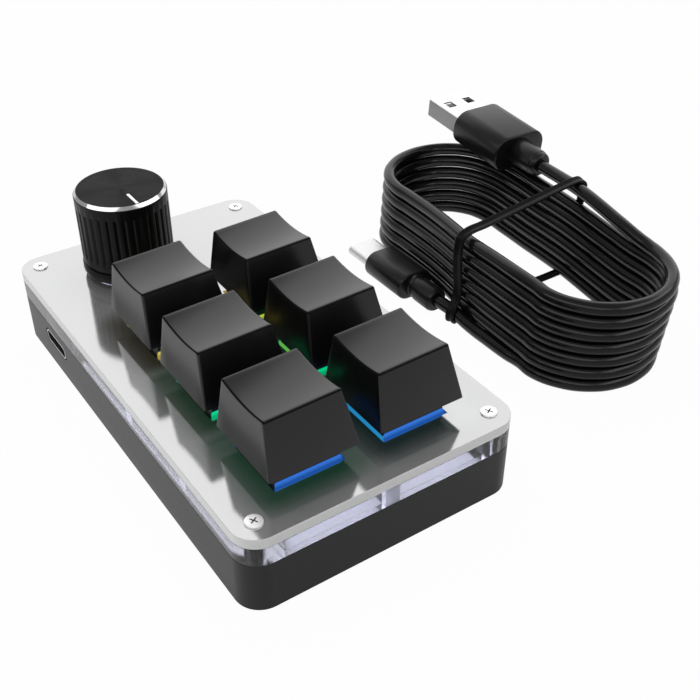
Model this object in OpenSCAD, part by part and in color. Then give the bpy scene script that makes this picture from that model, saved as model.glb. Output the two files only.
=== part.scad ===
// Six-key macro keypad with one push-to-click rotary knob and its coiled USB lead.
// Millimetres. Origin: centre of the keypad's footprint, on the surface that it stands on.
// +X along the case towards the knob, +Y towards the socket side, +Z up.

/* [Case] */
// Length of the case along X
case_len = 102; // [100:0.5:110]
// Width of the case along Y
case_wid = 57; // [56:0.5:62]
// Radius of the upright corners
corner_r = 5; // [4.5:0.1:6]
// Height of the black tray
tray_h = 10.5; // [10.5:0.1:12]
// Thickness of the tray's side walls
tray_wall = 2.4; // [2:0.1:2.6]
// Thickness of the tray's floor
tray_floor = 2; // [1.6:0.1:2.4]
// Height of the clear frame
frame_h = 3.9; // [3.6:0.1:4.5]
// Thickness of the clear frame's end walls
frame_end_wall = 2.6; // [2:0.1:3.4]
// Thickness of the silver top plate
plate_t = 2.1; // [1.9:0.1:2.4]
// How far the rubber feet stand out below the tray
foot_proud = 0.5; // [0.3:0.1:1]
// Diameter of a rubber foot
foot_d = 8; // [6:0.5:10]

/* [Screws] */
// Distance of the screws from the case's middle along X
screw_x = 46.7; // [46:0.1:47]
// Distance of the screws from the case's middle along Y
screw_y = 24.3; // [24:0.1:24.6]
// Diameter of the screw head
screw_head_d = 3; // [2.8:0.1:3.4]
// Height of the screw head
screw_head_h = 0.9; // [0.7:0.1:1.2]
// Diameter of the screw shank
screw_d = 2; // [1.8:0.1:2]
// Length of the screw below its head
screw_len = 12; // [10:1:13]

/* [Keys] */
// Distance between key centres
key_pitch = 22; // [21.5:0.1:22.5]
// Middle of the key block along X
keys_mid_x = -13.5; // [-14:0.1:-13]
// Travel of a key
key_travel = 3.6; // [3:0.1:3.8]

/* [Keycap] */
// Width of the cap at its lower rim
cap_base = 17.9; // [17.6:0.1:18.2]
// Height of the lower rim above the plate, at rest
cap_rise = 4; // [4:0.1:4.6]
// Width of the cap's top along X
cap_top_x = 13; // [12.4:0.1:13.4]
// Reach of the cap's top towards the typist
cap_top_front = 5.8; // [5.6:0.1:6.2]
// Reach of the cap's top towards the socket side
cap_top_back = 8.2; // [7.8:0.1:8.3]
// Height of the top edge on the typist's side
cap_h_front = 11.5; // [11:0.1:12]
// Height of the top edge on the socket side
cap_h_back = 11.1; // [10.6:0.1:11.6]
// Depth of the finger dish
dish_depth = 0.8; // [0.4:0.1:1]
// Thickness of the cap's skirt
cap_wall = 1.35; // [1.2:0.05:1.4]

/* [Switch] */
// Side of the square switch body
switch_body = 13.9; // [13.8:0.05:13.9]
// Side of the switch flange
switch_flange = 15.6; // [15.4:0.1:15.6]
// Height of the switch housing above the plate that it clips into
housing_rise = 6.6; // [6.4:0.1:6.6]
// Thickness of the plate that the switches clip into
switch_plate_t = 1.5; // [1.4:0.1:1.6]
// Depth of the switch body below that plate's upper face
switch_seat = 5; // [5:0.1:5.2]
// Outer diameter of the key spring
spring_d = 4.6; // [4.4:0.1:4.8]
// Number of coils in the key spring
spring_coils = 6; // [4:1:6]

/* [Knob] */
// Knob centre along X
knob_x = 35.8; // [35.5:0.1:36]
// Knob centre along Y
knob_y = 7.8; // [7:0.1:8.2]
// Diameter of the fluted grip
knob_d = 19.4; // [19:0.1:19.6]
// Height of the knob
knob_h = 18.2; // [17.8:0.1:18.6]
// Gap between the knob and the plate, at rest
knob_gap = 1.1; // [1:0.1:1.4]
// Number of flutes round the grip
flute_count = 34; // [24:1:36]
// Depth of a flute
flute_depth = 0.35; // [0.2:0.05:0.4]
// Travel of the knob when it is pressed
knob_travel = 0.5; // [0.3:0.1:0.5]

/* [Socket] */
// Middle of the USB socket along X
socket_x = 31; // [30:0.5:32]
// Height of the socket's middle above the tray's underside
socket_z = 6.8; // [6.7:0.1:6.9]
// Width of the opening in the tray
socket_slot_w = 11; // [10.4:0.1:11.4]
// Height of the opening in the tray
socket_slot_h = 3.4; // [3.4:0.1:3.6]

/* [Lead] */
// Diameter of the lead
lead_d = 3.1; // [3:0.1:3.2]
// Number of wires stacked in the hank's lower end, one more at the other end
hank_turns = 6; // [5:1:7]
// Distance between the middles of the hank's two end bends along X
hank_span = 56.2; // [54:0.2:60]
// Radius of an end bend, to the middle of the wire
hank_r = 15.7; // [15.3:0.1:15.9]
// Width of the twist tie
tie_w = 3.2; // [3:0.1:4]

/* [Hidden] */
$fn = 64;
eps = 0.05;
gap = 0.3;

// Levels, from the surface up
tray_z = foot_proud;
frame_z = tray_z + tray_h;
plate_z = frame_z + frame_h;
top_z = plate_z + plate_t;
floor_top = tray_z + tray_floor;
pcb_t = 1.6;
pcb_top = plate_z - switch_seat;
pcb_z = pcb_top - pcb_t;
cap_z = top_z + cap_rise;

// Key layout: numbered from the knob end, socket-side row first
key_places = [for (row = [0.5, -0.5], col = [1, 0, -1]) [keys_mid_x + col * key_pitch, row * key_pitch]];
screw_places = [for (x = [-screw_x, screw_x], y = [-screw_y, screw_y]) [x, y]];
foot_places = [for (x = [-36, 36], y = [-18, 18]) [x, y]];

// Clear frame cells
cell = 19.2;
cell_end_x = case_len / 2 - frame_end_wall;
deck_y = 22.5;
deck_x = 19.6;
encoder_cell = 15;

// Switch
flange_t = 0.8;
housing_top_x = 11;
housing_top_y = 11.4;
housing_wall = 1.1;
housing_top = plate_z + housing_rise;
stem_slot_x = 7.4;
stem_slot_y = 6;
stem_x = 7.2;
stem_y = 5.6;
stem_block_h = 5.2;
stem_top = housing_top - 0.2;
cross_h = 3.6;
cross_len = 4;
cross_t = 1.2;
guide_d = 2;
guide_low = pcb_top - 1 + key_travel + gap;
peg_d = 3.9;
peg_len = 3;
base_floor_t = 1.4;
spring_wire = 0.35;
spring_bottom = pcb_top + base_floor_t;
spring_top = stem_top - stem_block_h;
pin_d = 1;
led_x = 3.2;
led_y = 2.4;
led_h = 1.4;
led_off = 5;

// Keycap
cap_edge_r = 1;
cap_corner_base = 0.8;
cap_corner_top = 1;
cap_roof = 2.2;
post_d = 5.5;
post_lift = 0.6;
arc_steps = 3;
dish_steps = 6;

// Encoder and knob
enc_body = 11.8;
enc_base_h = 3.2;
enc_h = 6.5;
enc_floor = 1;
enc_roof = 1;
run_gap = 0.1;
dome_h = 0.3;
bush_d = 7;
bush_h = 5;
shaft_d = 6;
shaft_tip = pcb_top + enc_h + 15;
flat_z = shaft_tip - 9;
flat_y = 1.5;
rotor_d = 9.4;
rotor_z = pcb_top + enc_floor + run_gap;
rotor_h = enc_h - enc_roof - enc_floor - 2 * run_gap;
knob_z = top_z + knob_gap;
knob_top = knob_z + knob_h;
knob_r = knob_d / 2;
collar_r = knob_r + 0.18;
collar_h = 2.3;
ring_w = 0.5;
ring_h = 0.65;
flute_low = 4.5;
flute_high = 15.2;
flute_r = 0.45;
core_d = 13;
core_lift = 0.6;
core_recess_d = 10;
core_recess_h = 4.4;
shell_roof = 2;

// Socket
shell_w = 8.94;
shell_h = 3.26;
shell_len = 7.4;
shell_t = 0.3;
mouth_y = case_wid / 2 - 1.2;
socket_mid = tray_z + socket_z;
tongue_w = 6.7;
tongue_t = 0.7;

// Lead: the hank lies beside the typist's side. Its stack leans away from the case towards its top.
bend_low = [-25.2, -70.2];
bend_lean = 0.085;
far_bend_low = [bend_low[0] + hank_span, -74.8];
far_bend_lean = 0.165;
hank_h = (hank_turns + 1) * lead_d;
hank_low_h = hank_h - 2.4;
climb_from = 14;
climb_to = -12;
tie_x = -0.5;
tie_t = 0.8;
tie_far_low = -89.7;
tie_far = -92.15;
tie_near = -55.1;
tie_near_low = -52.3;
plug_a_tip = [50.9, -91.55, 26.2];
plug_a_turn = [0.8, -4.5, -0.9];
a_shell_w = 12;
a_shell_h = 4.5;
a_shell_len = 12.4;
a_body_w = 15.1;
a_body_h = 8.9;
a_body_r = 4;
a_body_len = 17;
a_relief_len = 8.3;
a_relief_d = 7;
c_shell_w = 8.25;
c_shell_h = 2.4;
c_shell_len = 8;
c_body_w = 10;
c_body_h = 6.5;
c_body_len = 14.1;
c_relief_len = 8.3;
c_relief_d = 6.2;
c_tip_x = 33.7;
c_y = -52.8;
c_z = c_body_h / 2;
shell_root = 3;

// Route of the short run on the surface, from the small plug over the tie and into the hank
floor_route = [
    [3.4, -52.8, 3.2], [1.2, -53.1, 3.1], [-1, -53.5, 2.8], [-3.4, -53.75, 2.3], [-6, -53.9, 1.8],
    [-9, -53.9, 1.6], [-13, -53.9, 1.6], [-17, -53.9, 1.6], [-20, -54, 1.6], [-23.4, -54.4, 1.6]
];
// Route of the run over the far side, from the large plug down onto the hank
top_route = [
    [13.4, -90.95, 23.25], [10.1, -90.85, 23.15], [5.5, -90.6, 23.15], [1, -90.4, 23.2],
    [-3.4, -90.15, 23.1], [-8.3, -89.9, 22.75], [-13.2, -89.7, 22.25], [-18, -89.4, 21.65],
    [-22.8, -89.1, 20.9], [-26, -88.9, 20.3]
];

// ---- Shared shapes ----

// Rounded rectangle made of exact arcs
module slab(len, wid, r, z, h) {
    translate([0, 0, z])
        linear_extrude(h)
            union() {
                square([len - 2 * r, wid], center = true);
                square([len, wid - 2 * r], center = true);
                for (x = [-1, 1], y = [-1, 1])
                    translate([x * (len / 2 - r), y * (wid / 2 - r)])
                        circle(r);
            }
}

module box(size, at) {
    translate([at[0] - size[0] / 2, at[1] - size[1] / 2, at[2]])
        cube(size);
}

// Flat oval with full-round ends, its length w along X, its height h along Z, run along Y
module oval_bar(w, h, len) {
    rotate([90, 0, 0])
        translate([0, 0, -len])
            linear_extrude(len)
                union() {
                    square([w - h, h], center = true);
                    for (x = [-1, 1])
                        translate([x * (w - h) / 2, 0])
                            circle(h / 2);
                }
}

// Solid lofted between rings that all have the same number of points
module loft(rings) {
    n = len(rings[0]);
    m = len(rings);
    polyhedron(
        points = [for (ring = rings) each ring],
        faces = concat(
            [[for (i = [0:n - 1]) i]],
            [for (k = [0:m - 2], i = [0:n - 1])
                [k * n + i, (k + 1) * n + i, (k + 1) * n + (i + 1) % n, k * n + (i + 1) % n]],
            [[for (i = [n - 1:-1:0]) (m - 1) * n + i]]
        ),
        convexity = 4
    );
}

function unit(v) = v / norm(v);
function tangent(p, i) = unit(p[min(i + 1, len(p) - 1)] - p[max(i - 1, 0)]);
function side_of(t) = unit(cross(t, [0, 0, 1]));
function tube_ring(c, t, r, sides) = let (s = side_of(t), u = cross(s, t))
    [for (k = [0:sides - 1]) c + r * (cos(k * 360 / sides) * s + sin(k * 360 / sides) * u)];

// Tube swept along a list of points
module tube(route, d, sides) {
    loft([for (i = [0:len(route) - 1]) tube_ring(route[i], tangent(route, i), d / 2, sides)]);
}

module at_key(k) {
    translate([key_places[k][0], key_places[k][1], 0])
        children();
}

module at_knob() {
    translate([knob_x, knob_y, 0])
        children();
}

// ---- Case ----

module base_tray() {
    ledge_h = pcb_z - floor_top;
    color("#2b2b2d")
        difference() {
            union() {
                difference() {
                    slab(case_len, case_wid, corner_r, tray_z, tray_h);
                    slab(case_len - 2 * tray_wall, case_wid - 2 * tray_wall,
                        corner_r - tray_wall, floor_top, tray_h);
                }
                // Screw bosses in the corners
                for (p = screw_places)
                    translate([p[0], p[1], tray_z])
                        cylinder(d = 5.6, h = tray_h);
                // Ledges that the circuit board rests on
                for (x = [-30, 0, 18], y = [-1, 1])
                    box([4, 3, ledge_h], [x, y * (case_wid / 2 - tray_wall - 1.4), floor_top]);
                for (x = [-1, 1])
                    box([3, 8, ledge_h], [x * (case_len / 2 - tray_wall - 1.4), 0, floor_top]);
            }
            for (p = screw_places)
                translate([p[0], p[1], floor_top])
                    cylinder(d = screw_d, h = tray_h);
            for (p = foot_places)
                translate([p[0], p[1], tray_z - eps])
                    cylinder(d = foot_d, h = foot_proud + eps);
            // Opening for the USB socket
            translate([socket_x, case_wid / 2 - tray_wall - 1, socket_mid])
                oval_bar(socket_slot_w, socket_slot_h, tray_wall + 2);
        }
}

module rubber_feet() {
    color("#1a1a1a")
        for (p = foot_places)
            translate([p[0], p[1], 0])
                cylinder(d = foot_d, h = 2 * foot_proud);
}

// Clear moulding: an outer wall, ribs round the switches and a step for the switch plate
module light_frame() {
    rows = [-0.5 * key_pitch, 0.5 * key_pitch];
    first_x = keys_mid_x - key_pitch;
    color("#c9cdd1", 0.5)
        difference() {
            slab(case_len, case_wid, corner_r, frame_z, frame_h);
            for (p = key_places)
                box([cell, cell, frame_h + 2], [p[0], p[1], frame_z - 1]);
            // The end cells reach out to the end wall
            for (y = rows)
                translate([-cell_end_x, y - cell / 2, frame_z - 1])
                    cube([cell_end_x + first_x, cell, frame_h + 2]);
            // Step that the switch plate drops into
            translate([-cell_end_x, -deck_y, plate_z - switch_plate_t])
                cube([cell_end_x + deck_x, 2 * deck_y, switch_plate_t + 1]);
            box([encoder_cell, encoder_cell, frame_h + 2], [knob_x, knob_y, frame_z - 1]);
            for (p = screw_places)
                translate([p[0], p[1], frame_z - 1])
                    cylinder(d = screw_d + 0.2, h = frame_h + 2);
        }
}

module switch_plate() {
    slack = 0.1;
    color("#e6e6e6")
        difference() {
            translate([-cell_end_x + slack, -deck_y + slack, plate_z - switch_plate_t])
                cube([cell_end_x + deck_x - 2 * slack, 2 * (deck_y - slack), switch_plate_t]);
            for (p = key_places)
                box([14, 14, switch_plate_t + 2], [p[0], p[1], plate_z - switch_plate_t - 1]);
        }
}

module top_plate() {
    color("#c8c8ca")
        difference() {
            slab(case_len, case_wid, corner_r, plate_z, plate_t);
            for (p = key_places) {
                box([14.1, 14.1, plate_t + 2], [p[0], p[1], plate_z - 1]);
                // Relief for the switch flange
                box([switch_flange + 0.3, switch_flange + 0.3, flange_t + 0.1 + 1], [p[0], p[1], plate_z - 1]);
            }
            at_knob()
                translate([0, 0, plate_z - 1])
                    cylinder(d = encoder_cell + 1.8, h = plate_t + 2);
            for (p = screw_places)
                translate([p[0], p[1], plate_z - 1])
                    cylinder(d = screw_d + 0.2, h = plate_t + 2);
        }
}

// Pan-head screws with a cross recess
module case_screws() {
    slot_l = 1.9;
    slot_w = 0.4;
    slot_deep = 0.5;
    color("silver")
        for (p = screw_places)
            translate([p[0], p[1], top_z])
                difference() {
                    union() {
                        rotate_extrude()
                            polygon([
                                [0, 0], [screw_head_d / 2, 0], [screw_head_d / 2, screw_head_h * 0.35],
                                [screw_head_d * 0.44, screw_head_h * 0.68],
                                [screw_head_d * 0.32, screw_head_h * 0.9], [0, screw_head_h]
                            ]);
                        translate([0, 0, -screw_len])
                            cylinder(d = screw_d, h = screw_len + eps);
                    }
                    for (turn = [30, 120])
                        rotate([0, 0, turn])
                            box([slot_l, slot_w, 2], [0, 0, screw_head_h - slot_deep]);
                }
}

// ---- Circuit board ----

module pcb() {
    board_x = case_len - 2 * tray_wall - 0.6;
    board_y = case_wid - 2 * tray_wall - 0.6;
    corner_cut = 9.2;
    color("#d9dcd8")
        difference() {
            box([board_x, board_y, pcb_t], [0, 0, pcb_z]);
            for (p = screw_places)
                box([corner_cut, corner_cut, pcb_t + 2], [p[0], p[1], pcb_z - 1]);
            // Cut-out that the socket is sunk into
            box([shell_w + 0.3, 14, pcb_t + 2], [socket_x, board_y / 2, pcb_z - 1]);
            for (p = key_places)
                translate([p[0], p[1], pcb_z - 1]) {
                    cylinder(d = peg_d + 0.1, h = pcb_t + 2);
                    for (o = [-3.8, 2.5])
                        translate([o, o < 0 ? 2.5 : 5, 0])
                            cylinder(d = pin_d + 0.1, h = pcb_t + 2);
                }
        }
}

module usb_socket_shell() {
    color("silver")
        translate([socket_x, mouth_y - shell_len, socket_mid])
            difference() {
                union() {
                    oval_bar(shell_w, shell_h, shell_len);
                    // Wings soldered under the board
                    translate([-shell_w / 2 - 1.2, 1, pcb_z - socket_mid - shell_t])
                        cube([shell_w + 2.4, 4, shell_t]);
                }
                translate([0, shell_t, 0])
                    oval_bar(shell_w - 2 * shell_t, shell_h - 2 * shell_t, shell_len);
            }
}

module usb_socket_tongue() {
    depth = shell_len - 1.2;
    color("#151515")
        translate([socket_x, mouth_y - shell_len + shell_t, socket_mid]) {
            oval_bar(shell_w - 2 * shell_t, shell_h - 2 * shell_t, 1.4);
            translate([-tongue_w / 2, 1, -tongue_t / 2])
                cube([tongue_w, depth - 1.4, tongue_t]);
        }
}

module controller_chip() {
    color("#202020")
        box([10, 4, 1.5], [30, -10, pcb_z - 1.5]);
}

module key_leds() {
    color("white")
        for (p = key_places)
            box([led_x, led_y, led_h], [p[0], p[1] - led_off, pcb_top]);
}

// Two contact pins under each switch, soldered through the board
module switch_pins() {
    color("#c9a45a")
        for (p = key_places, o = [-3.8, 2.5])
            translate([p[0] + o, p[1] + (o < 0 ? 2.5 : 5), pcb_top - peg_len])
                cylinder(d = pin_d, h = peg_len);
}

// ---- Keys ----

// Half outline of a cap level, from -X to +X: rounded corners and a run of points over the dish
function half_xs(hx, r) = concat(
    [for (k = [0:arc_steps]) -hx + r - r * cos(90 * k / arc_steps)],
    [for (k = [1:dish_steps - 1]) -hx + r + 2 * (hx - r) * k / dish_steps],
    [for (k = [arc_steps:-1:0]) hx - r + r * cos(90 * k / arc_steps)]
);
// How far a corner point stands back from the straight side
function corner_back(x, hx, r) = let (d = max(0, abs(x) - (hx - r))) r - sqrt(max(0, r * r - d * d));
// One level of the cap: front points left to right, then back points right to left
function cap_ring(hx, y_front, y_back, r, z_front, z_back, dish, hx_dish) =
    let (xs = half_xs(hx, r), n = len(xs))
    concat(
        [for (i = [0:n - 1]) let (y = y_front + corner_back(xs[i], hx, r))
            [xs[i], y, z_front - dish * (1 - pow(xs[i] / hx_dish, 2))]],
        [for (i = [n - 1:-1:0]) let (y = y_back - corner_back(xs[i], hx, r))
            [xs[i], y, z_back - dish * (1 - pow(xs[i] / hx_dish, 2))]]
    );

// Sculpted cap: straight skirt, softened top edge and a cylindrical dish along Y
module cap_outside() {
    hb = cap_base / 2;
    ht = cap_top_x / 2;
    e = cap_edge_r;
    rings = [
        cap_ring(hb, -hb, hb, cap_corner_base, 0, 0, 0, 1),
        cap_ring(ht + e * 0.55, -cap_top_front - e * 0.9, cap_top_back + e * 0.1, cap_corner_top,
            cap_h_front - e, cap_h_back - e, dish_depth, ht),
        cap_ring(ht + e * 0.3, -cap_top_front - e * 0.55, cap_top_back - e * 0.1, cap_corner_top,
            cap_h_front - e * 0.35, cap_h_back - e * 0.35, dish_depth, ht),
        cap_ring(ht - e * 0.3, -cap_top_front + e * 0.15, cap_top_back - e * 0.5, cap_corner_top,
            cap_h_front, cap_h_back, dish_depth, ht)
    ];
    n = len(rings[0]);
    m = len(rings);
    half = n / 2;
    polyhedron(
        points = [for (ring = rings) each ring],
        faces = concat(
            [[for (i = [0:n - 1]) i]],
            [for (k = [0:m - 2], i = [0:n - 1])
                [k * n + i, (k + 1) * n + i, (k + 1) * n + (i + 1) % n, k * n + (i + 1) % n]],
            // Strips across the dish
            [for (i = [0:half - 2])
                [(m - 1) * n + i, (m - 1) * n + n - 1 - i, (m - 1) * n + n - 2 - i, (m - 1) * n + i + 1]]
        ),
        convexity = 4
    );
}

// Hollow under the cap
module cap_inside() {
    hb = cap_base / 2 - cap_wall;
    ht = cap_top_x / 2 - cap_wall + 0.2;
    h = min(cap_h_front, cap_h_back) - dish_depth - cap_roof;
    rings = [
        cap_ring(hb + 0.05, -hb - 0.05, hb + 0.05, 0.6, -0.2, -0.2, 0, 1),
        cap_ring(ht, -cap_top_front + cap_wall - 0.4, cap_top_back - cap_wall, 0.9, h, h, 0, 1)
    ];
    loft(rings);
}

module keycap(k) {
    color("#1f1f21")
        at_key(k)
            translate([0, 0, cap_z])
                difference() {
                    union() {
                        difference() {
                            cap_outside();
                            cap_inside();
                        }
                        // Stem socket
                        translate([0, 0, post_lift])
                            cylinder(d = post_d, h = cap_h_back - dish_depth - 1 - post_lift);
                    }
                    translate([0, 0, stem_top - cap_z - 1])
                        linear_extrude(cross_h + 1)
                            cross_outline();
                }
}

module cross_outline() {
    union() {
        square([cross_len, cross_t], center = true);
        square([cross_t, cross_len], center = true);
    }
}

// Slider with its cross on top, a guide pin below and two side rails
module switch_stem(k) {
    color("#b03030")
        at_key(k) {
            translate([0, 0, stem_top - eps])
                linear_extrude(cross_h + eps)
                    cross_outline();
            difference() {
                box([stem_x, stem_y, stem_block_h], [0, 0, stem_top - stem_block_h]);
                // Ring groove that the spring seats in
                translate([0, 0, spring_top - eps])
                    difference() {
                        cylinder(d = spring_d + 0.3, h = 1.2);
                        translate([0, 0, -1])
                            cylinder(d = guide_d + 0.4, h = 4);
                    }
            }
            translate([0, 0, guide_low])
                cylinder(d = guide_d, h = stem_top - guide_low - 1);
        }
}

// Helical spring under the slider
module switch_spring(k) {
    steps = 10;
    total = spring_coils * steps;
    r = (spring_d - spring_wire) / 2;
    z0 = spring_bottom + spring_wire / 2;
    z1 = spring_top + 1.1 - spring_wire / 2;
    route = [for (i = [0:total]) let (a = i * 360 / steps)
        [r * cos(a), r * sin(a), z0 + (z1 - z0) * i / total]];
    color("#b8b8b8")
        at_key(k)
            tube(route, spring_wire, 4);
}

// Tapered clear upper housing with the slider's window
module switch_cover(k) {
    low = plate_z + flange_t;
    h = housing_top - low;
    color("#dfe6ea", 0.6)
        at_key(k)
            difference() {
                taper_box(switch_body, switch_body, housing_top_x, housing_top_y, low, h);
                taper_box(switch_body - 2 * housing_wall, switch_body - 2 * housing_wall,
                    housing_top_x - 1.6, housing_top_y - 2, low - 0.1, h - 1);
                box([stem_slot_x, stem_slot_y, h], [0, 0, low + h / 2]);
            }
}

// Frustum with four flat sides
module taper_box(x0, y0, x1, y1, z, h) {
    ring = function (x, y, zz) [[-x / 2, -y / 2, zz], [x / 2, -y / 2, zz], [x / 2, y / 2, zz], [-x / 2, y / 2, zz]];
    loft([ring(x0, y0, z), ring(x1, y1, z + h)]);
}

// Lower housing: box below the plate, flange on it, guide post and the peg through the board
module switch_base(k) {
    inner = switch_body - 2 * 1.3;
    color("#303033")
        at_key(k)
            difference() {
                union() {
                    box([switch_body, switch_body, switch_seat], [0, 0, pcb_top]);
                    box([switch_flange, switch_flange, flange_t], [0, 0, plate_z]);
                    translate([0, 0, pcb_top - peg_len])
                        cylinder(d = peg_d, h = peg_len + eps);
                }
                box([inner, inner, switch_seat], [0, 0, pcb_top + base_floor_t]);
                translate([0, 0, pcb_top - 1])
                    cylinder(d = guide_d + 0.4, h = base_floor_t + 2);
                // Window for the light
                box([led_x + 0.4, led_y + 0.4, base_floor_t + 2], [0, -led_off, pcb_top - 1]);
            }
}

// ---- Encoder and knob ----

module encoder_base() {
    color("#2a2a2a")
        at_knob()
            difference() {
                box([enc_body, enc_body, enc_base_h], [0, 0, pcb_top]);
                translate([0, 0, pcb_top + enc_floor])
                    cylinder(d = rotor_d + 0.6, h = enc_base_h);
            }
}

// Pressed metal cover with the threaded bush
module encoder_bracket() {
    z = pcb_top + enc_base_h;
    h = enc_h - enc_base_h;
    color("#b9bcc0")
        at_knob()
            difference() {
                union() {
                    box([enc_body, enc_body, h], [0, 0, z]);
                    translate([0, 0, z + h - eps])
                        cylinder(d = bush_d, h = bush_h + eps);
                }
                translate([0, 0, z - enc_roof])
                    cylinder(d = rotor_d + 0.6, h = h);
                translate([0, 0, z])
                    cylinder(d = shaft_d + 0.1, h = h + bush_h + 1);
            }
}

// Detent wheel that the shaft turns and slides through
module encoder_rotor() {
    detents = 20;
    color("#d8d2c0")
        at_knob()
            translate([0, 0, rotor_z])
                difference() {
                    cylinder(d = rotor_d, h = rotor_h);
                    translate([0, 0, -1])
                        cylinder(d = shaft_d + 0.1, h = rotor_h + 2);
                    for (a = [0:detents - 1])
                        rotate([0, 0, a * 360 / detents])
                            translate([rotor_d / 2 + 0.15, 0, -1])
                                cylinder(d = 0.8, h = rotor_h + 2, $fn = 16);
                }
}

// Round shaft with a flat on its upper part
module encoder_shaft() {
    low = pcb_top + enc_floor + dome_h + knob_travel + run_gap;
    color("silver")
        at_knob()
            difference() {
                translate([0, 0, low])
                    cylinder(d = shaft_d, h = shaft_tip - low);
                box([shaft_d + 2, 4, 20], [0, flat_y + 2, flat_z]);
            }
}

// Snap dome that the shaft presses on
module encoder_dome() {
    color("#c0c4c8")
        at_knob()
            translate([0, 0, pcb_top + enc_floor])
                cylinder(d = 5, h = dome_h);
}

module knob_core() {
    color("#26262a")
        at_knob()
            difference() {
                translate([0, 0, knob_z + core_lift])
                    cylinder(d = core_d, h = knob_h - shell_roof - core_lift);
                translate([0, 0, knob_z - 1])
                    cylinder(d = core_recess_d, h = core_recess_h + 1);
                difference() {
                    translate([0, 0, knob_z])
                        cylinder(d = shaft_d, h = shaft_tip - knob_z);
                    box([shaft_d + 2, 4, 20], [0, flat_y + 2, flat_z]);
                }
            }
}

// Turned aluminium cap: collar, fluted grip, plain band and a bright chamfer at the top
module knob_shell() {
    bore_top = knob_h - shell_roof;
    color("#1b1b1d")
        at_knob()
            translate([0, 0, knob_z])
                difference() {
                    rotate_extrude($fn = 120)
                        polygon([
                            [core_d / 2, 0], [collar_r - 0.6, 0], [collar_r - 0.15, 0.2],
                            [collar_r, 0.6], [collar_r, collar_h - 0.5],
                            [collar_r - 0.12, collar_h - 0.1],
                            [knob_r - 0.3, collar_h], [knob_r - 0.3, collar_h + 0.25],
                            [knob_r - 0.05, collar_h + 0.5], [knob_r, collar_h + 0.9],
                            [knob_r, knob_h - ring_h - 0.12], [knob_r - 0.12, knob_h - ring_h],
                            [knob_r - 0.12 - ring_w, knob_h],
                            [0, knob_h], [0, bore_top], [core_d / 2, bore_top]
                        ]);
                    for (a = [0:flute_count - 1])
                        rotate([0, 0, a * 360 / flute_count])
                            translate([knob_r - flute_depth + flute_r, 0, flute_low])
                                cylinder(r = flute_r, h = flute_high - flute_low, $fn = 24);
                    // Pointer groove
                    translate([-knob_r + 0.9, -0.3, knob_h - 0.2])
                        cube([4.9, 0.6, 1]);
                }
}

// ---- Lead ----

// Level outline of the hank at height z, r from the middles of its two end bends
function race_ring(r, z) =
    let (
        a = bend_low - [0, bend_lean * z],
        b = far_bend_low - [0, far_bend_lean * z],
        along = atan2(b[1] - a[1], b[0] - a[0]),
        steps = 24
    )
    concat(
        [for (k = [0:steps]) let (t = along - 90 + 180 * k / steps) [b[0] + r * cos(t), b[1] + r * sin(t), z]],
        [for (k = [0:steps]) let (t = along + 90 + 180 * k / steps) [a[0] + r * cos(t), a[1] + r * sin(t), z]]
    );

// Stack of wires as one ring, one wire higher at its -X end, with room for the tie and the small plug
module cable_hank() {
    outer = hank_r + lead_d / 2;
    inner = hank_r - lead_d / 2;
    reach = hank_span + 2 * outer;
    plug_back = c_tip_x - c_shell_len - c_body_len - c_relief_len;
    color("#18181a")
        difference() {
            intersection() {
                difference() {
                    loft([race_ring(outer, 0), race_ring(outer, hank_h)]);
                    loft([race_ring(inner, -1), race_ring(inner, hank_h + 1)]);
                }
                translate([0, -40, 0])
                    rotate([90, 0, 0])
                        linear_extrude(80)
                            polygon([
                                [-reach, 0], [reach, 0], [reach, hank_low_h], [climb_from, hank_low_h],
                                [climb_to, hank_h], [-reach, hank_h]
                            ]);
            }
            box([tie_w + 0.4, 60, tie_t + 0.1 + 1], [tie_x, bend_low[1], -1]);
            translate([plug_back - 0.3, c_y - c_body_w / 2 - gap, -1])
                cube([c_body_len + c_relief_len + 0.8, c_body_w, c_body_h + gap + 1]);
        }
}

module cable_floor_lead() {
    color("#18181a")
        tube(floor_route, lead_d, 8);
}

module cable_top_lead() {
    color("#18181a")
        tube(top_route, lead_d, 8);
}

// Flat twist tie round both sides of the hank and both short runs
module cable_tie() {
    lift = 24.8;
    loop = [
        [tie_far_low, tie_t], [tie_near_low - 0.3, tie_t], [tie_near_low, 1.4], [tie_near_low, 3.2],
        [tie_near_low - 1, 4.6], [tie_near, 5.4], [tie_near, hank_h - 1.1], [tie_near - 1.6, hank_h - 0.3],
        [tie_far + 2.6, lift], [tie_far + 1, lift - 0.3], [tie_far, lift - 1.2], [tie_far, hank_low_h + 1.2]
    ];
    color("#202022")
        translate([tie_x - tie_w / 2, 0, 0])
            rotate([90, 0, 90])
                linear_extrude(tie_w)
                    difference() {
                        offset(delta = tie_t)
                            polygon(loop);
                        polygon(loop);
                    }
}

// ---- Plugs ----

module at_a_plug() {
    translate(plug_a_tip)
        rotate(plug_a_turn)
            children();
}

module usb_a_shell() {
    t = 0.4;
    window = 2;
    color("#d8dadc")
        at_a_plug()
            difference() {
                translate([-a_shell_len - shell_root, -a_shell_w / 2, -a_shell_h / 2])
                    cube([a_shell_len + shell_root, a_shell_w, a_shell_h]);
                translate([-a_shell_len - shell_root + 1, -a_shell_w / 2 + t, -a_shell_h / 2 + t])
                    cube([a_shell_len + shell_root, a_shell_w - 2 * t, a_shell_h - 2 * t]);
                // Square latch windows
                for (y = [-1, 1], z = [-1, 1])
                    box([window * 1.2, window, window], [-4.8, y * 3, z * a_shell_h / 2 - window / 2]);
            }
}

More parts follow.
